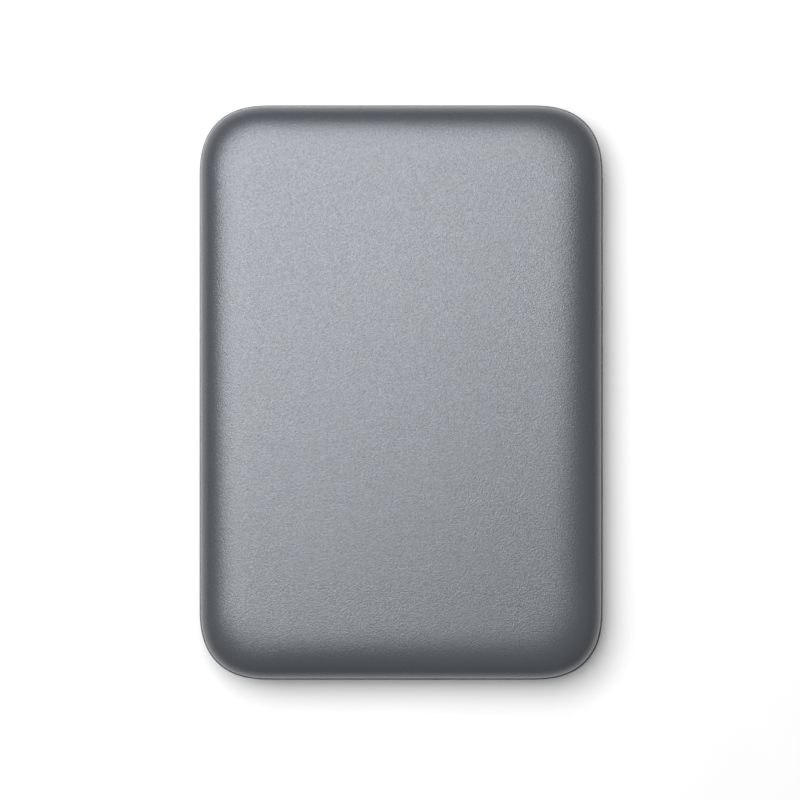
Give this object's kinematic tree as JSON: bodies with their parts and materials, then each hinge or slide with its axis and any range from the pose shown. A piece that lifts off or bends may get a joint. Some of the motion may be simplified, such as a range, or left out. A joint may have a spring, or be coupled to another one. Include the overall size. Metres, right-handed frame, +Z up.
{
  "type": "portable external hard drive",
  "caption": "Pillow-shaped portable hard drive: two snapped plastic shells round a disk drive, with a data socket and rubber feet.",
  "frame": {"origin": "on the table below the centre of the case, level with the undersides of the rubber feet", "axes": "+X across the case, +Y along the case towards the socket end, +Z up through the top cover"},
  "size_m": [0.08, 0.114, 0.0148],
  "materials": {
    "case_plastic": "fine matte grain",
    "foot_rubber": "matte",
    "grommet_rubber": "matte",
    "board_laminate": "solder mask",
    "chip_plastic": "matte",
    "small_parts": "satin",
    "plated_steel": "plated",
    "black_plastic": "matte",
    "led_lens": "clear",
    "foil": "crinkled foil",
    "cast_aluminium": "die cast",
    "pressed_cover": "satin",
    "disk_mirror": "mirror",
    "machined_steel": "turned",
    "bearing_brass": "turned",
    "magnet": "plated",
    "core_steel": "laminated",
    "copper_wire": "enamelled wire",
    "slider_ceramic": "polished",
    "ramp_plastic": "satin",
    "flex_film": "film",
    "filter_fabric": "fibre"
  },
  "bodies": {
    "case": {"top_cover": "case_plastic", "bottom_case": "case_plastic", "foot_1": "foot_rubber", "foot_2": "foot_rubber", "foot_3": "foot_rubber", "foot_4": "foot_rubber", "grommet_1": "grommet_rubber", "grommet_2": "grommet_rubber", "grommet_3": "grommet_rubber", "grommet_4": "grommet_rubber", "grommet_studs": "plated_steel", "bridge_board": "board_laminate", "bridge_chip": "chip_plastic", "bridge_parts": "small_parts", "socket_shell": "plated_steel", "socket_tongue": "black_plastic", "serial_receptacle": "black_plastic", "status_led": "led_lens", "light_pipe": "led_lens", "foil_shield": "foil", "base_casting": "cast_aluminium", "drive_cover": "pressed_cover", "cover_gasket": "foot_rubber", "cover_screws": "plated_steel", "bearing_sleeve": "bearing_brass", "stator_core": "core_steel", "stator_windings": "copper_wire", "pivot_shaft": "machined_steel", "magnet_lower": "magnet", "magnet_upper": "magnet", "yoke_lower": "machined_steel", "yoke_upper": "machined_steel", "load_ramp": "ramp_plastic", "crash_stops": "foot_rubber", "flex_cable": "flex_film", "flex_bracket": "black_plastic", "recirculation_filter": "filter_fabric", "breather_filter": "filter_fabric", "controller_board": "board_laminate", "controller_chips": "chip_plastic", "serial_plug": "black_plastic", "board_screws": "plated_steel"},
    "disk_stack": {"platter_1": "disk_mirror", "platter_2": "disk_mirror", "disk_spacer": "machined_steel", "spindle_hub": "machined_steel", "spindle_shaft": "machined_steel", "rotor_magnet": "magnet", "disk_clamp": "machined_steel", "clamp_screws": "plated_steel"},
    "actuator": {"pivot_bearings": "machined_steel", "pivot_sleeve": "cast_aluminium", "arm_block": "cast_aluminium", "coil_holder": "black_plastic", "voice_coil": "copper_wire", "suspensions": "machined_steel", "head_sliders": "slider_ceramic"}
  },
  "joints": [
    {"name": "spindle_spin", "type": "hinge", "parent": "case", "child": "disk_stack", "pos_m": [0, -0.017, 0.0071], "axis": [0, 0, 1], "continuous": true},
    {"name": "actuator_pivot", "type": "hinge", "parent": "case", "child": "actuator", "pos_m": [-0.01702, 0.01869, 0.0083], "axis": [0, 0, -1], "range_deg": [0, 37], "deforming": ["flex_cable"]}
  ]
}
